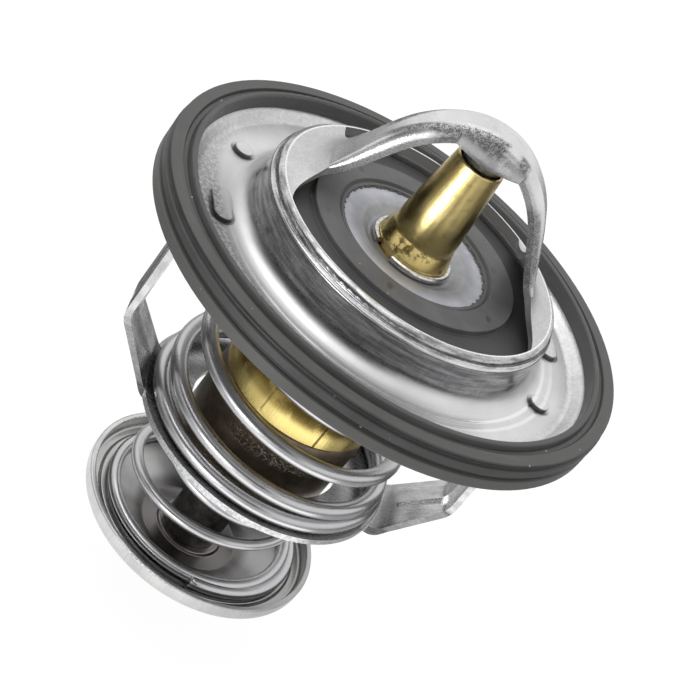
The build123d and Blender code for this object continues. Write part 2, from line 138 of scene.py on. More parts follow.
class Finish:
    """One procedural material and the calls that build its nodes."""

    def __init__(self, name):
        self.material = bpy.data.materials.new(name)
        self.material.use_nodes = True
        self.tree = self.material.node_tree
        self.tree.nodes.clear()
        self.output = self.tree.nodes.new("ShaderNodeOutputMaterial")
        self.shader = self.tree.nodes.new("ShaderNodeBsdfPrincipled")
        self.tree.links.new(self.shader.outputs[0], self.output.inputs[0])

    def node(self, kind, settings=None, values=None):
        """A node with its settings first, then the values or links of its sockets."""
        made = self.tree.nodes.new(kind)
        for key, value in (settings or {}).items():
            setattr(made, key, value)
        pairs = enumerate(values) if isinstance(values, list) else (values or {}).items()
        for key, value in pairs:
            self.feed(made.inputs[key], value)
        return made

    def feed(self, socket, value):
        """Links a socket to a number or socket, or sets its own value."""
        if isinstance(value, Number):
            value = value.socket
        if isinstance(value, bpy.types.NodeSocket):
            self.tree.links.new(value, socket)
        elif socket.type == "RGBA":
            socket.default_value = (*value, 1)
        else:
            socket.default_value = value

    def number(self, kind, settings=None, values=None):
        """The first output of a new node, ready for arithmetic."""
        return Number(self, self.node(kind, settings, values).outputs[0])

    def place(self):
        """Numbers x, y, z in millimetres, the radius and the unit direction about the axis."""
        if not hasattr(self, "_place"):
            spot = self.node("ShaderNodeTexCoord").outputs["Object"]
            split = self.node("ShaderNodeSeparateXYZ", None, [spot])
            x, y, z = (Number(self, split.outputs[i]) * 1000 for i in range(3))
            radius = (x * x + y * y).root().most(0.001)
            self._place = (x, y, z, radius, x / radius, y / radius)
        return self._place

    def vector(self, x, y, z):
        return self.node("ShaderNodeCombineXYZ", None, [x, y, z]).outputs[0]

    def turn_to(self, degrees):
        """Number that is 1 in that direction about the axis and falls to -1 opposite it."""
        side_x, side_y = self.place()[4:6]
        angle = math.radians(degrees)
        return side_x * math.cos(angle) + side_y * math.sin(angle)

    def noise(self, vector, scale=1.0, detail=3.0, rough=0.5):
        """Cloudy noise over a vector of millimetres or directions."""
        return self.number(
            "ShaderNodeTexNoise",
            None,
            {"Vector": vector, "Scale": scale, "Detail": detail, "Roughness": rough},
        )

    def grain(self, scale, detail=3.0, rough=0.5, shift=0.0):
        """Even noise in all directions, in features of about 1 / scale millimetres."""
        x, y, z = self.place()[:3]
        return self.noise(self.vector(x + shift, y, z), scale, detail, rough)

    def draw_lines(self, around, along, shift=0.0):
        """Fine lines along the axis, as a drawing or brushing tool leaves them."""
        z, _, side_x, side_y = self.place()[2:]
        spot = self.vector(side_x * around + shift, side_y * around, z * along)
        return self.noise(spot, 1.0, 3.0, 0.6)

    def turning_lines(self, across, shift=0.0, wander=0.0):
        """Rings about the axis, as turning or spinning leaves them."""
        z, radius, side_x, side_y = self.place()[2:]
        spot = self.vector(
            radius * across + shift, side_x * wander + z * across, side_y * wander
        )
        return self.noise(spot, 1.0, 2.0, 0.5)

    def specks(self, scale, size, shift=0.0):
        """Small round spots: 1 inside, 0 outside."""
        x, y, z = self.place()[:3]
        cell = self.node(
            "ShaderNodeTexVoronoi",
            {"feature": "F1"},
            {"Vector": self.vector(x + shift, y, z), "Scale": scale, "Randomness": 1.0},
        )
        away = Number(self, cell.outputs["Distance"])
        keep = self.number(
            "ShaderNodeSeparateColor", None, [cell.outputs["Color"]]
        ).ramp(0.55, 0.6)
        return away.ramp(size, size * 0.6) * keep

    def mix(self, share, first, second):
        """Colour between two colours or colour sockets."""
        made = self.node(
            "ShaderNodeMix",
            {"data_type": "RGBA", "clamp_factor": True},
        )
        # The node keeps its colour sockets behind those for numbers and vectors.
        self.feed(made.inputs[0], share)
        self.feed(made.inputs[6], first)
        self.feed(made.inputs[7], second)
        return made.outputs[2]

    def bump(self, height, depth_mm):
        """Normal from a height number, in millimetres of depth."""
        made = self.node("ShaderNodeBump", None, {"Height": height, "Strength": 1.0})
        made.inputs["Distance"].default_value = depth_mm * MM
        return made.outputs[0]

    def finish(self, **sockets):
        """Feeds the shader's sockets and gives back the material."""
        names = {
            "color": "Base Color",
            "roughness": "Roughness",
            "metallic": "Metallic",
            "normal": "Normal",
            "specular": "Specular IOR Level",
        }
        for key, value in sockets.items():
            self.feed(self.shader.inputs[names[key]], value)
        return self.material


def dress(obj, material):
    """Gives a whole piece one material."""
    obj.data.materials.clear()
    obj.data.materials.append(material)
    for face in obj.data.polygons:
        face.material_index = 0


def dress_nodes(material, *names):
    """Gives whole solids of the frame one material."""
    for name in names:
        dress(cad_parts[name], material)


def made_mesh(name, points, faces, material, body):
    """A piece from points in millimetres, riding on a body."""
    mesh = bpy.data.meshes.new(name)
    mesh.from_pydata([Vector(p) * MM for p in points], [], faces)
    mesh.validate()
    mesh.update()
    piece = bpy.data.objects.new(name, mesh)
    bpy.context.scene.collection.objects.link(piece)
    for face in mesh.polygons:
        face.use_smooth = True
    dress(piece, material)
    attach(piece, body)
    return piece


def climb(turn, flat, ease, pitch):
    """Height after some turns from a spring end that lies flat and then opens."""
    if turn < flat:
        return 0.0
    if turn < flat + ease:
        return pitch * (turn - flat) ** 2 / (2 * ease)
    return pitch * (turn - flat - ease / 2)


def wound_wire(name, wire, ends, radii, turns, tip, hand, opening, lean, material, body):
    """Tube mesh of a conical spring, with rounded ground ends.

    Lengths are in millimetres, each pair from the lower end to the upper one. Tip is the
    direction of the lower wire end in degrees, opening the turns that lie flat and those
    that ease into the pitch, and lean a sideways bow of the middle.
    """
    low = ends[0] + wire
    total = ends[1] - wire - low
    closed = sum(flat + ease / 2 for flat, ease in opening)
    pitch = total / (turns - closed)

    def centre(turn):
        if turn < turns / 2:
            rise = climb(turn, *opening[0], pitch)
        else:
            rise = total - climb(turns - turn, *opening[1], pitch)
        share = min(max((turn - 0.5) / (turns - 1.0), 0), 1)
        radius = radii[0] + (radii[1] - radii[0]) * share
        angle = math.radians(tip + hand * 360 * turn)
        sway = lean * math.sin(math.pi * rise / total)
        return Vector(
            (radius * math.cos(angle) + sway, radius * math.sin(angle), low + rise)
        )

    steps = round(turns * 96)
    sides = 24
    points = []
    faces = []
    rings = [(0.0, 0.0), (0.0, 0.72), (0.0, 0.93)]
    rings += [(turns * i / steps, 1.0) for i in range(1, steps)]
    rings += [(turns, 0.93), (turns, 0.72), (turns, 0.0)]
    for turn, width in rings:
        here = centre(turn)
        ahead = (centre(min(turn + 0.002, turns)) - centre(max(turn - 0.002, 0))).normalized()
        out = Vector((here.x, here.y, 0)).normalized()
        up = out.cross(ahead).normalized()
        out = ahead.cross(up).normalized()
        for k in range(sides):
            angle = 2 * math.pi * k / sides
            edge = out * math.cos(angle) + up * math.sin(angle)
            points.append(here + edge * wire * max(width, 0.001))
    for row in range(len(rings) - 1):
        for k in range(sides):
            a = row * sides + k
            b = row * sides + (k + 1) % sides
            faces.append((a, b, b + sides, a + sides))
    return made_mesh(name, points, faces, material, body)


class SeatSteelSettings(bpy.types.PropertyGroup):
    """Finish of the pressed flange, collar and bridge."""

    colour: bpy.props.FloatVectorProperty(
        name="Steel",
        description="Colour of the pressed steel",
        subtype="COLOR",
        size=3,
        min=0,
        max=1,
        default=tone(226, 226, 227),
    )
    roughness: bpy.props.FloatProperty(
        name="Roughness",
        description="Roughness of the flat of the flange",
        subtype="FACTOR",
        min=0,
        max=1,
        default=0.42,
    )
    speckle: bpy.props.FloatProperty(
        name="Speckle",
        description="How dark the grain of the bent rim and the bridge is",
        subtype="FACTOR",
        min=0,
        max=1,
        default=0.6,
    )


class RubberSettings(bpy.types.PropertyGroup):
    """Finish of the rubber rings."""

    ring_colour: bpy.props.FloatVectorProperty(
        name="Rim seal",
        description="Colour of the outer rubber ring",
        subtype="COLOR",
        size=3,
        min=0,
        max=1,
        default=tone(78, 78, 77),
    )
    valve_colour: bpy.props.FloatVectorProperty(
        name="Valve seal",
        description="Colour of the rubber on the valve disc",
        subtype="COLOR",
        size=3,
        min=0,
        max=1,
        default=tone(96, 96, 97),
    )
    dust: bpy.props.FloatProperty(
        name="Dust",
        description="How much pale dust lies on the rubber",
        subtype="FACTOR",
        min=0,
        max=1,
        default=0.5,
    )


class BrassSettings(bpy.types.PropertyGroup):
    """Finish of the brass guide and the dark cup."""

    colour: bpy.props.FloatVectorProperty(
        name="Brass",
        description="Colour of the turned brass",
        subtype="COLOR",
        size=3,
        min=0,
        max=1,
        default=tone(236, 216, 152),
    )
    stain: bpy.props.FloatVectorProperty(
        name="Stain",
        description="Colour of the olive brown stains on the brass",
        subtype="COLOR",
        size=3,
        min=0,
        max=1,
        default=tone(112, 92, 46),
    )
    cup: bpy.props.FloatVectorProperty(
        name="Cup",
        description="Colour of the darkened cup",
        subtype="COLOR",
        size=3,
        min=0,
        max=1,
        default=tone(146, 131, 112),
    )


class SpringSettings(bpy.types.PropertyGroup):
    """Wire of the two springs."""

    colour: bpy.props.FloatVectorProperty(
        name="Wire",
        description="Colour of the polished spring wire",
        subtype="COLOR",
        size=3,
        min=0,
        max=1,
        default=tone(200, 200, 202),
    )
    main_wire: bpy.props.FloatProperty(
        name="Main wire",
        description="Wire radius of the main spring",
        subtype="DISTANCE",
        unit="LENGTH",
        default=1.15 * MM,
        precision=5,
    )
    bypass_wire: bpy.props.FloatProperty(
        name="Bypass wire",
        description="Wire radius of the bypass spring",
        subtype="DISTANCE",
        unit="LENGTH",
        default=0.85 * MM,
        precision=5,
    )


class StageSettings(bpy.types.PropertyGroup):
    """Floor, lamp and backdrop."""

    floor_colour: bpy.props.FloatVectorProperty(
        name="Floor",
        description="Colour of the floor and the backdrop",
        subtype="COLOR",
        size=3,
        min=0,
        max=1,
        default=(1.0, 1.0, 1.0),
    )
    lamp_power: bpy.props.FloatProperty(
        name="Lamp power",
        description="Power of the large soft lamp above",
        subtype="POWER",
        unit="POWER",
        min=0,
        default=0.6,
    )
    world_level: bpy.props.FloatProperty(
        name="Sky level",
        description="Strength of the even light from all round",
        subtype="FACTOR",
        min=0,
        default=0.62,
    )


def seat_steel():
    """Pressed steel: satin flange, grainy bent rim, brushed collar, speckled bridge, with painted
    shade, painted reflections and painted highlights.
    """
    look = bpy.context.scene.valve_seat
    made = Finish("seat_steel_pressed")
    x, y, z, radius, side_x, side_y = made.place()
    cloud = made.grain(0.16, 4)
    fine = made.grain(3.2, 4, 0.65)
    grit = made.grain(1.7, 5, 0.75, 40.0)
    drawn = made.draw_lines(75.0, 0.05)
    dark_streaks = made.draw_lines(16.0, 0.28, 9.0)
    rings = made.turning_lines(2.3, 3.0)
    sparkle = made.grain(5.5, 3, 0.7, 23.0)
    streak = made.noise(made.vector(side_x * 4.0, side_y * 4.0 + 3.0, z * 1.7), 1.0, 4.0, 0.6)
    # The side towards the camera, where shade and dark reflections are painted into the colour
    # below.
    towards = made.turn_to(54).ramp(0.2, 0.9)

    # Zones of the pressing, by height and by radius in millimetres.
    collar_top = 7.35
    step_z = 5.98
    lip_radius = 19.93
    flat = z.ramp(0.9, 0.5) * radius.ramp(21.6, 22.4)
    rim = (radius + towards * 2.6).ramp(26.5, 28.0) * z.ramp(2.0, 1.4) * radius.ramp(22.6, 23.6)
    collar = z.ramp(0.8, 2.2) * z.ramp(collar_top, 7.0) * radius.ramp(20.3, 20.6)
    band = z.ramp(6.05, 6.25) * radius.ramp(20.0, 20.2) * z.ramp(7.9, 7.5)
    step = z.band(step_z, 0.05, 0.18) * collar
    lip = z.ramp(7.2, 7.36) * radius.band(lip_radius, 0.05, 0.1) * z.ramp(8.2, 7.6)
    shoulder = z.ramp(7.0, 7.4) * z.ramp(11.0, 10.0)
    bridge = z.ramp(8.4, 11.0)

    # Two rings that the pressing tool left on the flange, with a painted highlight along them on
    # one side only.
    inner_line = radius.band(24.0, 0.12, 0.25) * flat
    outer_line = radius.band(25.3, 0.1, 0.3) * flat
    lines = (inner_line + outer_line * 0.8) * made.turn_to(112).ramp(-0.2, 0.75)

    # Rims of the two coins and the two tongues: a faint dark outline all round, and painted shade
    # along the side that faces the camera.
    coin_ring = 24.8
    coin_radius = 1.5
    tongue_half = 1.85
    camera_x, camera_y = 0.22, 0.97
    pressed = 0
    for turn, half in ((-17, 0), (163, 0), (17, tongue_half), (197, tongue_half)):
        angle = math.radians(turn)
        middle_x = coin_ring * math.cos(angle)
        middle_y = coin_ring * math.sin(angle)
        out = x * math.cos(angle) + y * math.sin(angle) - coin_ring
        along = y * math.cos(angle) - x * math.sin(angle)
        past = (abs(along) - half).most(0)
        reach = (out * out + past * past).root()
        near = (x - middle_x) * camera_x + (y - middle_y) * camera_y
        outline = reach.band(coin_radius, 0.12, 0.3) * z.ramp(0.9, 0.7)
        pressed = outline * (near.ramp(-0.4, 0.9) * 0.75 + 0.25) + pressed
    pressed = (pressed * flat.most(z.ramp(0.3, 0.2))).least(1)

    # Painted reflection: a dark band along the rounded front and back edges of the bridge, where
    # dark surroundings would mirror, broken where the socket is lit; and darker patches on the
    # sides of one arm.
    across = abs(y)
    from_crown = abs(x)
    edge_line = 2.66 - from_crown * 0.03 - (from_crown - 6.5).most(0) * 0.2
    gap = (abs(x + 2.1) + (grit - 0.5) * 1.6).ramp(0.4, 1.5)
    corner_reflection_band = (
        abs(across - edge_line).ramp(0.85, 0.3)
        * from_crown.ramp(12.5, 11.0)
        * z.ramp(15.5, 17.5)
        * gap
        * (x + (grit - 0.5) * 1.2).ramp(-5.2, -4.1)
    )
    arm_height = z.ramp(10.5, 12.0) * z.ramp(21.0, 19.5)
    arm_side_darkening = across.ramp(2.5, 2.75) * arm_height * x.ramp(-6.5, -8.0)
    bright_edge = across.ramp(2.3, 2.75) * bridge * x.ramp(-5.0, -3.0)

    dark_grit = grit.ramp(0.40, 0.56)
    patches = made.grain(0.28, 3, 0.5, 11.0).ramp(0.50, 0.64)
    broken = (sparkle * 0.6 + grit * 0.4).ramp(0.42, 0.56)
    # Dark grain of the bent rim and the bridge; on the rim it reaches further in and is darker on
    # the side towards the camera, as painted shade.
    speckle = look.speckle * dark_grit * (rim * (towards * 0.5 + 0.25) + bridge * patches * 0.22)
    speckle = speckle + band * broken * 0.3 + rim * towards * broken * 0.22
    bridge_darkening = corner_reflection_band * (0.4 + broken * 0.5) + arm_side_darkening * (0.25 + broken * 0.4)
    tone_flat = made.mix(cloud.ramp(0.3, 0.7), tone(212, 212, 213), look.colour)
    # Painted shade: the flange darker from the fillet outwards on the side towards the camera.
    tone_flat = made.mix(towards * radius.ramp(21.8, 23.2) * 0.75, tone_flat, tone(150, 150, 151))
    tone_flat = made.mix(shoulder * (broken * 0.3 + 0.25), tone_flat, tone(158, 158, 159))
    # Painted reflection: the collar wall a darker copy of the flange steel, with light and dark
    # streaks of brushed steel mirroring dark surroundings.
    shaded_wall_tone = made.mix(streak.ramp(0.35, 0.68), tone(132, 132, 133), tone(196, 196, 197))
    shaded_wall_tone = made.mix(dark_streaks.ramp(0.5, 0.75) * 0.35, shaded_wall_tone, tone(108, 108, 109))
    colour = made.mix(collar.most(band), tone_flat, shaded_wall_tone)
    colour = made.mix(drawn.ramp(0.45, 0.75) * collar * 0.15, colour, tone(225, 225, 226))
    # Painted highlight: bright streaks on the top band of the collar.
    colour = made.mix(band * streak.ramp(0.42, 0.6) * 0.45, colour, tone(238, 238, 239))
    # Painted highlights: bright lines on the window lip, the pressing rings, the step of the collar
    # and the front edge of the bridge.
    bright = (
        lip * sparkle.ramp(0.3, 0.5)
        + lines * 0.6
        + step * 0.35
        + bright_edge * sparkle.ramp(0.52, 0.6) * 0.7
    )
    colour = made.mix(bright.least(1), colour, tone(250, 250, 250))
    colour = made.mix(speckle.least(1) * 0.9, colour, tone(64, 64, 65))
    # Painted reflection: the dark band along the edges of the bridge, with the darker patches on
    # one arm.
    colour = made.mix(bridge_darkening.least(1) * 0.95, colour, tone(44, 44, 45))
    # Painted shade along the rims of the coins and tongues, strongest on the side facing the
    # camera.
    colour = made.mix(pressed * 0.75, colour, tone(70, 70, 71))
    roughness = (
        look.roughness
        - collar * 0.17
        - lip * 0.2
        - lines * 0.2
        - bridge * 0.14
        + corner_reflection_band * 0.15
        + (fine - 0.5) * 0.16
        + rim * 0.08
        + (rings - 0.5) * flat * 0.1
    ).most(0.12)
    height = (
        fine * 0.25
        + grit * (rim * (towards * 0.6 + 0.3) + bridge * 0.4 + corner_reflection_band * 0.8 + 0.08)
        + sparkle * (band * 0.6 + bright_edge * 0.8 + corner_reflection_band * 0.8)
        + drawn * collar * 0.18
        + dark_streaks * collar * 0.1
        + streak * collar * 0.5
        + rings * flat * 0.35
        + lines * 0.5
        + sparkle * rim * towards * 0.8
    )
    return made.finish(
        color=colour,
        roughness=roughness,
        metallic=1.0,
        normal=made.bump(height, 0.035),
    )


def ring_rubber():
    """Moulded rubber of the outer ring: satin, with moulding lines and pale dust, and painted shade
    in its groove.
    """
    look = bpy.context.scene.valve_rubber
    made = Finish("rim_rubber_moulded")
    z, radius = made.place()[2:4]
    cloud = made.grain(0.22, 4)
    fine = made.grain(5.0, 3, 0.6)
    rings = made.turning_lines(4.0, 5.0, 1.5)
    streak = made.turning_lines(1.1, 21.0, 5.0)
    dust = made.specks(0.42, 0.075) + made.specks(0.3, 0.055, 17.0)
    groove_shade = z.band(0.42, 0.1, 0.25) * radius.ramp(32.6, 32.9)
    colour = made.mix(cloud.ramp(0.3, 0.7), tone(70, 70, 69), look.ring_colour)
    colour = made.mix(streak.ramp(0.55, 0.8) * 0.3, colour, tone(104, 104, 103))
    colour = made.mix(z.ramp(0.6, 0.2) * 0.55, colour, tone(112, 111, 109))
    # Painted shade in the moulded groove near the foot of the ring.
    colour = made.mix(groove_shade * 0.6, colour, tone(34, 34, 34))
    colour = made.mix(dust.least(1) * look.dust, colour, tone(214, 214, 210))
    roughness = 0.46 + (cloud - 0.5) * 0.25 + (fine - 0.5) * 0.15
    height = fine * 0.4 + rings * 0.5 + dust * 0.6
    return made.finish(
        color=colour,
        roughness=roughness,
        specular=0.45,
        normal=made.bump(height, 0.02),
    )


def valve_rubber_look():
    """Rubber moulded on the valve disc: even grey with a few oval marks and dust, and painted shade
    on its outer slope.
    """
    look = bpy.context.scene.valve_rubber
    made = Finish("valve_rubber_moulded")
    x, y, z, radius = made.place()[:4]
    cloud = made.grain(0.3, 4)
    fine = made.grain(5.5, 3, 0.6)
    dust = made.specks(0.5, 0.07, 3.0)
    marks = 0
    spots = ((-41.4, 13.1), (21.9, 13.6), (202.9, 12.2), (80.0, 12.9), (150.0, 13.4))
    for angle, distance in spots:
        at_x = distance * math.cos(math.radians(angle))
        at_y = distance * math.sin(math.radians(angle))
        spread = (((x - at_x) * 1.3) ** 2 + ((y - at_y) * 0.8) ** 2).root()
        marks = spread.ramp(0.75, 0.3) + marks
    marks = marks * z.ramp(5.8, 6.1)
    slope_shade = radius.ramp(14.95, 15.2)
    colour = made.mix(cloud.ramp(0.3, 0.7), tone(86, 86, 87), look.valve_colour)
    # Painted shade on the outer slope of the rubber.
    colour = made.mix(slope_shade * 0.75, colour, tone(52, 52, 53))
    colour = made.mix(marks * cloud.ramp(0.2, 0.6) * 0.75, colour, tone(48, 48, 50))
    colour = made.mix(dust.least(1) * look.dust, colour, tone(212, 212, 210))
    return made.finish(
        color=colour,
        roughness=0.5 + (fine - 0.5) * 0.2 - marks * 0.1,
        specular=0.45,
        normal=made.bump(fine * 0.5 - marks * 0.8 + dust * 0.4, 0.025),
    )


def valve_steel():
    """Bare disc steel around the guide: pale, with faint lilac rings and painted shade in the
    recess.
    """
    made = Finish("valve_steel_bare")
    radius = made.place()[3]
    rings = made.turning_lines(1.5, 2.0, 1.2)
    fine = made.grain(4.0, 4, 0.6)
    cloud = made.grain(0.5, 4, 0.6)
    lilac = radius.band(8.9, 0.25, 0.6) * 0.8 + radius.band(10.0, 0.15, 0.35) * 0.5
    recess_shade = radius.ramp(10.4, 8.0) * (made.turn_to(85).ramp(-0.4, 0.8) * 0.5 + 0.5)
    colour = made.mix(cloud.ramp(0.3, 0.7), tone(178, 181, 190), tone(200, 203, 210))
    colour = made.mix((lilac * rings.ramp(0.3, 0.7)).least(1) * 0.6, colour, tone(192, 188, 200))
    # Painted shade and reflection: the recess round the snap ring darker, most on the side towards
    # the camera.
    colour = made.mix(recess_shade * 0.7, colour, tone(112, 110, 108))
    return made.finish(
        color=colour,
        roughness=0.5 + (fine - 0.5) * 0.2 + (rings - 0.5) * 0.15,
        metallic=0.35,
        normal=made.bump(fine * 0.4 + rings * 0.5, 0.02),
    )


def guide_brass():
    """Turned brass with drawn lines, olive stains at the foot of the cone and a scored skirt."""
    look = bpy.context.scene.valve_brass
    made = Finish("guide_brass_turned")
    z, _, side_x, side_y = made.place()[2:]
    cloud = made.grain(0.34, 5, 0.6)
    blot = made.grain(0.75, 5, 0.65, 7.0)
    fine = made.grain(6.0, 4, 0.6)
    drawn = made.draw_lines(42.0, 0.06)
    cone = z.ramp(5.8, 6.2)
    foot = z.ramp(10.0, 7.0) * cone
    skirt = z.ramp(-11.5, -12.5)
    stains = (blot.ramp(0.52, 0.62) * (foot * 0.65 + cone * 0.2)).least(1)
    haze = made.noise(made.vector(side_x * 3.2, side_y * 3.2 + 5.0, z * 0.22), 1.0, 4.0, 0.6)
    dark_streaks = z.ramp(-19.8, -18.4) * haze.ramp(0.36, 0.52) * skirt
    score_turn, nick_turn = 109.6, 64.7
    score = made.turn_to(score_turn).ramp(0.99984, 0.99996) * skirt
    nick = made.turn_to(nick_turn).ramp(0.9999, 0.99997) * skirt * z.ramp(-21.2, -20.7)
    colour = made.mix(cloud.ramp(0.3, 0.75), tone(222, 198, 128), look.colour)
    colour = made.mix(skirt * 0.5, colour, tone(238, 216, 132))
    colour = made.mix(stains, colour, look.stain)
    colour = made.mix(dark_streaks * 0.7, colour, tone(128, 104, 44))
    colour = made.mix((score * 0.8 + nick * 0.4).least(1), colour, tone(70, 54, 22))
    colour = made.mix(drawn.ramp(0.58, 0.8) * 0.3, colour, tone(246, 236, 190))
    roughness = (
        0.16 + (cloud - 0.5) * 0.12 + stains * 0.2 + skirt * 0.1 + (drawn - 0.5) * 0.1
    ).most(0.08)
    height = drawn * 0.5 + fine * 0.15 - score * 2.0 - nick * 1.5 - stains * 0.3
    return made.finish(
        color=colour,
        roughness=roughness,
        metallic=1.0,
        normal=made.bump(height, 0.03),
    )


def cup_brown():
    """Darkened cup and stem: brown black with worn spots, painted as near white glints in a band
    towards the camera.
    """
    look = bpy.context.scene.valve_brass
    made = Finish("cup_darkened")
    z = made.place()[2]
    cloud = made.grain(0.4, 5, 0.6)
    fine = made.grain(2.4, 5, 0.7)
    worn = made.grain(4.2, 3, 0.75, 31.0).ramp(0.52, 0.62)
    towards = made.turn_to(92).ramp(0.7, 0.97)
    glint_band = z.band(-26.0, 0.25, 1.2) * (towards * 0.9 + 0.1)
    colour = made.mix(cloud.ramp(0.25, 0.75), tone(112, 100, 86), look.cup)
    # Painted highlight: the worn spots near white where the band faces the camera.
    colour = made.mix(worn * (glint_band * 0.95 + 0.05), colour, tone(250, 240, 222))
    return made.finish(
        color=colour,
        roughness=0.34 + (fine - 0.5) * 0.3 - worn * glint_band * 0.1,
        metallic=0.8,
        normal=made.bump(fine * 0.7 + worn * glint_band * 0.5, 0.05),
    )


def wire_steel(name, shift):
    """Polished spring wire with fine marks along the wire."""
    look = bpy.context.scene.valve_springs
    made = Finish(name)
    z, radius, side_x, side_y = made.place()[2:]
    cloud = made.grain(0.5, 4, 0.6, shift)
    spot = made.vector(side_x * 2.0, side_y * 2.0, z * 6.0 + radius * 5.0)
    along = made.noise(spot, 1.0, 3.0, 0.6)
    fine = made.grain(5.0, 3, 0.6, shift)
    colour = made.mix(cloud.ramp(0.3, 0.75), tone(196, 196, 197), look.colour)
    colour = made.mix(along.ramp(0.6, 0.8) * 0.16, colour, tone(140, 140, 143))
    return made.finish(
        color=colour,
        roughness=(0.29 + (along - 0.5) * 0.1 + (cloud - 0.5) * 0.1).most(0.16),
        metallic=1.0,
        normal=made.bump(along * 0.25 + fine * 0.2, 0.02),
    )


def frame_steel():
    """Stamped frame: brushed faces and bright, rough sheared edges."""
    made = Finish("frame_steel_stamped")
    x, y, z, radius = made.place()[:4]
    cloud = made.grain(0.35, 4, 0.6)
    brushed = made.noise(made.vector(x * 0.35, y * 6.0, z * 0.35), 1.0, 4.0, 0.6)
    fine = made.grain(4.0, 4, 0.65)
    shear = made.grain(2.4, 4, 0.7, 5.0)
    ring_radius = 18.7
    ring_edge = radius.band(ring_radius, 0.06, 0.12) * z.ramp(-29.5, -30.2)
    ring_wall = z.ramp(-28.0, -29.5)
    colour = made.mix(cloud.ramp(0.3, 0.7), tone(168, 168, 169), tone(206, 206, 207))
    colour = made.mix(brushed.ramp(0.5, 0.75) * 0.35, colour, tone(120, 120, 121))
    colour = made.mix(ring_wall * 0.5, colour, tone(142, 142, 143))
    colour = made.mix(ring_edge * shear.ramp(0.35, 0.6) * 0.6, colour, tone(236, 236, 236))
    return made.finish(
        color=colour,
        roughness=(0.27 + (brushed - 0.5) * 0.25 + (fine - 0.5) * 0.12 + ring_edge * 0.1).most(0.1),
        metallic=1.0,
        normal=made.bump(brushed * 0.4 + fine * 0.2 + shear * ring_edge * 1.4, 0.03),
    )


def disc_steel():
    """Polished drawn disc: spun rings inside, a satin outer wall, with painted shade on one side, a
    painted reflection in the dish and a painted highlight on the hub ridge.
    """
    made = Finish("disc_steel_polished")
    radius = made.place()[3]
    cloud = made.grain(0.25, 4, 0.6)
    rings = made.turning_lines(3.0, 1.0, 0.8)
    drawn = made.draw_lines(110.0, 0.1)
    fine = made.grain(4.5, 3, 0.6)
    hub_ridge = 5.0
    wall = radius.ramp(17.2, 17.5)
    well_reflection = radius.ramp(9.8, 8.0)
    ridge_highlight = radius.band(hub_ridge, 0.1, 0.3)
    inside = radius.ramp(17.3, 16.9)
    colour = made.mix(cloud.ramp(0.3, 0.7), tone(206, 206, 206), tone(224, 224, 223))
    # Painted shade: the disc darker on one side.
    colour = made.mix(made.turn_to(165).ramp(0.3, 0.95) * 0.5, colour, tone(120, 120, 120))
    colour = made.mix(inside * 0.5, colour, tone(150, 148, 147))
    # Painted reflection of the dark cup and stem in the bottom of the dish.
    colour = made.mix(well_reflection * 0.75, colour, tone(88, 83, 82))
    # Painted highlight along the hub ridge.
    colour = made.mix(ridge_highlight * 0.5, colour, tone(176, 166, 164))
    colour = made.mix(drawn.ramp(0.5, 0.75) * wall * 0.4, colour, tone(150, 150, 151))
    return made.finish(
        color=colour,
        roughness=(0.24 + (rings - 0.5) * 0.08 + wall * 0.12 + (cloud - 0.5) * 0.08).most(0.1),
        metallic=1.0,
        normal=made.bump(rings * 0.35 + drawn * wall * 0.5 + fine * 0.1, 0.018),
    )


def small_part(name, dark, light, rough, metal, scale=1.2):
    """Finish of a small or inner piece: two close tones, fine grain."""
    made = Finish(name)
    cloud = made.grain(scale, 4, 0.6)
    fine = made.grain(scale * 6, 3, 0.6)
    return made.finish(
        color=made.mix(cloud.ramp(0.3, 0.7), dark, light),
        roughness=rough + (fine - 0.5) * 0.18,
        metallic=metal,
        normal=made.bump(fine, 0.012),
    )


def torn_edge(plate_z, mean_radius):
    """Points and faces of the ragged lip where the moulded rubber ends on the plate."""
    steps = 420
    sway = 0.1
    points = []
    faces = []
    for i in range(steps):
        angle = 2 * math.pi * i / steps
        out = Vector((math.cos(angle), math.sin(angle), 0))
        up = Vector((0, 0, plate_z))
        rough = (
            math.sin(angle * 37 + 1.3 * math.sin(angle * 11))
            + 0.7 * math.sin(angle * 83 + 2.0 * math.sin(angle * 7))
            + 0.5 * math.sin(angle * 139)
        )
        torn = mean_radius + sway * rough
        for reach, rise in (
            (torn, 0.0),
            (torn + 0.08, 0.145),
            (mean_radius + 0.26, 0.325),
            (mean_radius + 0.48, 0.33),
        ):
            points.append(out * reach + up + Vector((0, 0, rise)))
        a = 4 * i
        b = 4 * ((i + 1) % steps)
        for k in range(3):
            faces.append((a + k, b + k, b + k + 1, a + k + 1))
    return points, faces


class VALVE_OT_seat_body(bpy.types.Operator):
    """Dress the flange, collar and bridge in pressed steel"""

    bl_idname = "coolant.seat_body"
    bl_label = "Seat Body"

    def execute(self, context):
        dress_nodes(seat_steel(), "seat_body")
        return {"FINISHED"}


class VALVE_OT_rim_seal(bpy.types.Operator):
    """Dress the outer rubber ring"""

    bl_idname = "coolant.rim_seal"
    bl_label = "Rim Seal"

    def execute(self, context):
        dress_nodes(ring_rubber(), "rim_seal")
        return {"FINISHED"}


class VALVE_OT_lower_frame(bpy.types.Operator):
    """Dress the ring and the legs below the flange"""

    bl_idname = "coolant.lower_frame"
    bl_label = "Lower Frame"

    def execute(self, context):
        dress_nodes(frame_steel(), "lower_frame")
        return {"FINISHED"}


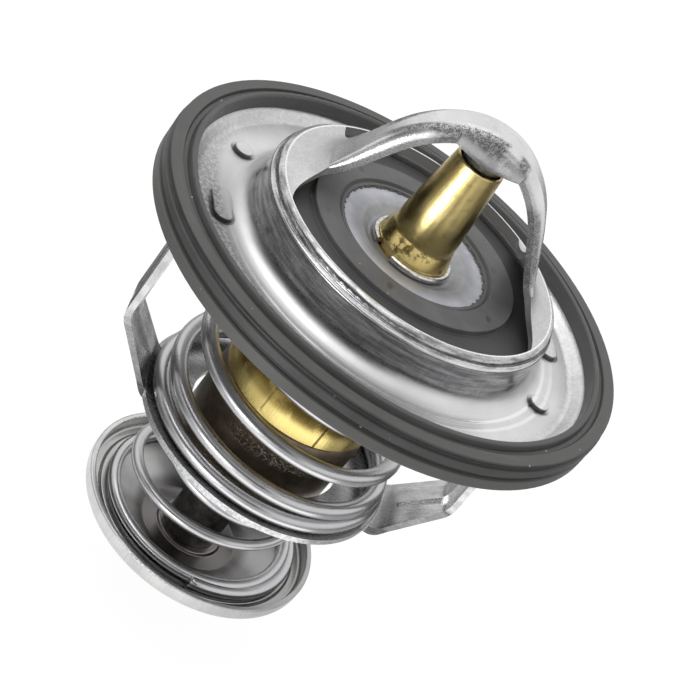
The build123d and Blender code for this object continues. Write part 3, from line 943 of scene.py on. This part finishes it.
class VALVE_OT_main_valve(bpy.types.Operator):
    """Dress the valve disc, its rubber and the snap ring, and add the torn rubber edge"""

    bl_idname = "coolant.main_valve"
    bl_label = "Main Valve"

    def execute(self, context):
        rubber = valve_rubber_look()
        dress_nodes(valve_steel(), "valve_plate", "spring_seat")
        dress_nodes(rubber, "valve_rubber")
        dress_nodes(
            small_part("snap_wire", tone(178, 177, 172), tone(226, 225, 220), 0.22, 1.0, 2.0),
            "snap_ring",
            "stem_clip",
        )
        points, faces = torn_edge(plate_z=5.655, mean_radius=10.42)
        made_mesh("valve_rubber_flash", points, faces, rubber, "element")
        return {"FINISHED"}


class VALVE_OT_guide(bpy.types.Operator):
    """Dress the brass guide, the cup, the stem and the sealed inner pieces"""

    bl_idname = "coolant.guide"
    bl_label = "Guide and Cup"

    def execute(self, context):
        dress_nodes(guide_brass(), "element_guide")
        dress_nodes(cup_brown(), "wax_cup")
        dress_nodes(
            small_part("stem_dull", tone(96, 93, 90), tone(142, 139, 136), 0.3, 0.95, 0.8),
            "bypass_stem",
        )
        dress_nodes(
            small_part("pin_ground", tone(198, 198, 200), tone(232, 232, 233), 0.16, 1.0),
            "piston_pin",
        )
        dress_nodes(
            small_part("boot_rubber", tone(34, 33, 32), tone(48, 47, 46), 0.6, 0.0),
            "rubber_boot",
            "guide_seal",
        )
        dress_nodes(
            small_part("chafe_plastic", tone(214, 211, 200), tone(232, 230, 222), 0.45, 0.0),
            "chafe_washer",
        )
        dress_nodes(
            small_part("wax_fill", tone(168, 138, 92), tone(196, 168, 120), 0.55, 0.0),
            "wax_charge",
        )
        return {"FINISHED"}


class VALVE_OT_springs(bpy.types.Operator):
    """Wind the two springs in place of their rigid solids"""

    bl_idname = "coolant.springs"
    bl_label = "Springs"

    def execute(self, context):
        look = context.scene.valve_springs
        main = wound_wire(
            "main_spring_wire",
            wire=look.main_wire / MM,
            ends=(-30.4, 4.65),
            radii=(17.1, 12.9),
            turns=6.8,
            tip=273.0,
            hand=-1,
            opening=((0.34, 1.87), (0.75, 0.5)),
            lean=0.0,
            material=wire_steel("main_wire_polished", 0.0),
            body="housing",
        )
        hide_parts("main_spring")
        # The spring is 35.05 mm long at rest, and 8 mm shorter when the valve is open.
        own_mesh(main)
        # The foot stays 0.03 mm above the disc, so the two never share a face.
        bypass = wound_wire(
            "bypass_spring_wire",
            wire=look.bypass_wire / MM,
            ends=(-48.87, -36.9),
            radii=(14.2, 10.4),
            turns=3.34,
            tip=95.6,
            hand=1,
            opening=((0.84, 0.5), (0.6, 0.4)),
            lean=0.7,
            material=wire_steel("bypass_wire_polished", 31.0),
            body="element",
        )
        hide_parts("bypass_spring")
        # Its 12 mm shorten to 7 mm when the disc slides up the stem.
        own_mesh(bypass)
        return {"FINISHED"}


class VALVE_OT_bypass_disc(bpy.types.Operator):
    """Dress the bypass disc in polished steel"""

    bl_idname = "coolant.bypass_disc"
    bl_label = "Bypass Disc"

    def execute(self, context):
        dress_nodes(disc_steel(), "bypass_disc")
        return {"FINISHED"}


def glowing(name, colour, strength):
    """Plain glowing material for reflector cards."""
    made = bpy.data.materials.new(name)
    made.use_nodes = True
    nodes = made.node_tree.nodes
    nodes.clear()
    out = nodes.new("ShaderNodeOutputMaterial")
    glow = nodes.new("ShaderNodeEmission")
    glow.inputs[0].default_value = (*colour, 1)
    glow.inputs[1].default_value = strength
    made.node_tree.links.new(glow.outputs[0], out.inputs[0])
    return made


def card(name, points, faces, material):
    """A stage card that only reflections see."""
    mesh = bpy.data.meshes.new(name)
    mesh.from_pydata([Vector(p) * MM for p in points], [], faces)
    mesh.update()
    made = bpy.data.objects.new(name, mesh)
    bpy.context.scene.collection.objects.link(made)
    made.data.materials.append(material)
    made.visible_camera = False
    made.visible_diffuse = False
    made.visible_shadow = False
    made.visible_transmission = False
    return made


# Strengths of the glowing cards. Each ring of cards is a list of pairs: the direction in
# degrees where a stretch starts, and the index of its strength.
CARD_LEVELS = (0.09, 0.16, 0.28, 0.46, 0.75, 1.2, 1.75, 9.0)
LOW_CARD = ((-60, 1), (22, 4), (50, 5), (72, 6), (150, 3))
MIDDLE_CARD = ((-90, 4), (-34, 2), (36, 3), (62, 0), (118, 1), (148, 3), (190, 2), (205, 4))
HIGH_CARD = (
    (-85, 2),
    (-52, 1),
    (-20, 2),
    (26, 5),
    (46, 7),
    (68, 5),
    (92, 2),
    (106, 4),
    (124, 3),
    (155, 1),
    (203, 0),
    (240, 2),
)


def card_level(sectors, angle):
    """Level of the card in one direction."""
    turned_angle = (angle + 90) % 360 - 90
    level = sectors[-1][1]
    for start, value in sectors:
        if turned_angle >= start:
            level = value
    return level


def softboxes(lowest):
    """Ring shaped cards of light and dark round the part, and a dark one towards the camera."""
    glows = [glowing(f"card_{i}", (1, 1, 1), level) for i, level in enumerate(CARD_LEVELS)]
    steps = 120
    low = lowest + 1.0
    rings = (
        (LOW_CARD, 36, low, 96, low),
        (MIDDLE_CARD, 96, low, 178, low),
        (HIGH_CARD, 178, low, 330, 0.0),
    )
    for order, (sectors, near, near_z, far, far_z) in enumerate(rings):
        points = []
        faces = []
        for i in range(steps):
            angle = 2 * math.pi * i / steps
            ray = Vector((math.cos(angle), math.sin(angle), 0))
            points.append(ray * near + Vector((0, 0, near_z)))
            points.append(ray * far + Vector((0, 0, far_z)))
            a = 2 * i
            b = 2 * ((i + 1) % steps)
            faces.append((a, b, b + 1, a + 1))
        piece = card(f"card_ring_{order}", points, faces, glows[0])
        for glow in glows[1:]:
            piece.data.materials.append(glow)
        for i, face in enumerate(piece.data.polygons):
            face.material_index = card_level(sectors, 360 * (i + 0.5) / steps)
    points = []
    faces = []
    reach = 420
    first, step = -14, 12
    for i in range(12):
        turn = math.radians(first + step * i)
        for rise in (math.radians(10), math.radians(42)):
            points.append(
                Vector(
                    (
                        reach * math.cos(turn) * math.cos(rise),
                        reach * math.sin(turn) * math.cos(rise),
                        reach * math.sin(rise),
                    )
                )
            )
        if i:
            faces.append((2 * i - 2, 2 * i, 2 * i + 1, 2 * i - 1))
    card("card_camera_side", points, faces, glows[0])


def seen_directly(tree):
    """Socket that is 1 for what the camera meets, also in a reflection or through glass."""
    path = tree.nodes.new("ShaderNodeLightPath")
    seen = path.outputs["Is Camera Ray"]
    for kind in ("Is Glossy Ray", "Is Transmission Ray"):
        either = tree.nodes.new("ShaderNodeMath")
        either.operation = "MAXIMUM"
        tree.links.new(seen, either.inputs[0])
        tree.links.new(path.outputs[kind], either.inputs[1])
        seen = either.outputs[0]
    return seen


def floor_material(colour):
    """White floor that keeps a soft shadow."""
    made = bpy.data.materials.new("studio_floor")
    made.use_nodes = True
    tree = made.node_tree
    tree.nodes.clear()
    out = tree.nodes.new("ShaderNodeOutputMaterial")
    glow = tree.nodes.new("ShaderNodeEmission")
    glow.inputs[0].default_value = (*colour, 1)
    glow.inputs[1].default_value = 1.08
    matt = tree.nodes.new("ShaderNodeBsdfDiffuse")
    matt.inputs[0].default_value = (*[c * 0.9 for c in colour], 1)
    share = tree.nodes.new("ShaderNodeMath")
    share.operation = "MULTIPLY"
    share.inputs[1].default_value = 0.87
    tree.links.new(seen_directly(tree), share.inputs[0])
    mix = tree.nodes.new("ShaderNodeMixShader")
    tree.links.new(share.outputs[0], mix.inputs[0])
    tree.links.new(matt.outputs[0], mix.inputs[1])
    tree.links.new(glow.outputs[0], mix.inputs[2])
    tree.links.new(mix.outputs[0], out.inputs[0])
    return made


class VALVE_OT_stage(bpy.types.Operator):
    """Set the floor, the lamp, the reflector cards, the backdrop and the camera"""

    bl_idname = "coolant.stage"
    bl_label = "Studio"

    def execute(self, context):
        scene = context.scene
        look = scene.valve_stage
        scene.view_settings.view_transform = "Standard"

        lowest = cad_box[0][2] / MM - 0.05
        # The element sinks by 8 mm when the valve opens, and stays above the floor.
        floor_z = lowest - 8.5
        mesh = bpy.data.meshes.new("floor")
        reach = 3000.0
        corners = [(-reach, -reach), (reach, -reach), (reach, reach), (-reach, reach)]
        mesh.from_pydata(
            [Vector((a, b, floor_z)) * MM for a, b in corners], [], [(0, 1, 2, 3)]
        )
        floor = bpy.data.objects.new("floor", mesh)
        scene.collection.objects.link(floor)
        floor.data.materials.append(floor_material(look.floor_colour))

        world = bpy.data.worlds.new("studio")
        scene.world = world
        world.use_nodes = True
        tree = world.node_tree
        tree.nodes.clear()
        out = tree.nodes.new("ShaderNodeOutputWorld")
        even = tree.nodes.new("ShaderNodeBackground")
        even.inputs[0].default_value = (1, 1, 1, 1)
        even.inputs[1].default_value = look.world_level
        seen = tree.nodes.new("ShaderNodeBackground")
        seen.inputs[0].default_value = (*look.floor_colour, 1)
        seen.inputs[1].default_value = 1.0
        mix = tree.nodes.new("ShaderNodeMixShader")
        tree.links.new(seen_directly(tree), mix.inputs[0])
        tree.links.new(even.outputs[0], mix.inputs[1])
        tree.links.new(seen.outputs[0], mix.inputs[2])
        tree.links.new(mix.outputs[0], out.inputs[0])

        lamp = bpy.data.lights.new("overhead_softbox", "AREA")
        lamp.shape = "SQUARE"
        lamp.size = 0.35
        lamp.energy = look.lamp_power
        lamp_place = bpy.data.objects.new("overhead_softbox", lamp)
        lamp_place.location = (0.12, -0.02, 0.32)
        lamp_place.rotation_euler = (
            Vector((0, 0, 0)) - lamp_place.location
        ).to_track_quat("-Z", "Y").to_euler()
        scene.collection.objects.link(lamp_place)

        softboxes(lowest)

        lens = bpy.data.cameras.new("camera")
        lens.sensor_width = 36
        lens.lens = 99.85
        lens.clip_start = 0.005
        lens.clip_end = 20
        camera = bpy.data.objects.new("camera", lens)
        scene.collection.objects.link(camera)
        # Roll, tilt, turn and place, in millimetres, that line the view up with the photograph.
        roll, tilt, part_turn = 2.4604, 1.0222, math.radians(13.5)
        turned = (
            Matrix.Rotation(roll, 3, "Z")
            @ Matrix.Rotation(tilt, 3, "X")
            @ Matrix.Rotation(part_turn, 3, "Z")
        )
        spot = Matrix.Rotation(-part_turn, 3, "Z") @ Vector((-1.917, 216.18, 120.006))
        camera.matrix_world = turned.transposed().to_4x4()
        camera.location = spot * MM
        scene.camera = camera
        return {"FINISHED"}


class VALVE_PT_panel(bpy.types.Panel):
    """Lists the pieces of the coolant valve"""

    bl_idname = "VALVE_PT_panel"
    bl_label = "Coolant Valve"
    bl_space_type = "VIEW_3D"
    bl_region_type = "UI"
    bl_category = "Coolant Valve"

    def draw(self, context):
        for name in STEPS:
            self.layout.operator(f"coolant.{name}")
        for group in GROUPS:
            box = self.layout.box()
            settings = getattr(context.scene, group)
            for key in settings.bl_rna.properties.keys():
                if key not in ("rna_type", "name"):
                    box.prop(settings, key)


STEPS = (
    "seat_body",
    "rim_seal",
    "lower_frame",
    "main_valve",
    "guide",
    "springs",
    "bypass_disc",
    "stage",
)
GROUPS = {
    "valve_seat": SeatSteelSettings,
    "valve_rubber": RubberSettings,
    "valve_brass": BrassSettings,
    "valve_springs": SpringSettings,
    "valve_stage": StageSettings,
}
CLASSES = (
    *GROUPS.values(),
    VALVE_OT_seat_body,
    VALVE_OT_rim_seal,
    VALVE_OT_lower_frame,
    VALVE_OT_main_valve,
    VALVE_OT_guide,
    VALVE_OT_springs,
    VALVE_OT_bypass_disc,
    VALVE_OT_stage,
    VALVE_PT_panel,
)


def register():
    for entry in CLASSES:
        bpy.utils.register_class(entry)
    for name, group in GROUPS.items():
        setattr(bpy.types.Scene, name, bpy.props.PointerProperty(type=group))


def unregister():
    for name in GROUPS:
        delattr(bpy.types.Scene, name)
    for entry in reversed(CLASSES):
        bpy.utils.unregister_class(entry)


def main():
    register()
    for step in STEPS:
        result = getattr(bpy.ops.coolant, step)()
        if "FINISHED" not in result:
            raise RuntimeError(f"{step} did not finish")
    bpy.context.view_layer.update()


if __name__ == "__main__":
    main()
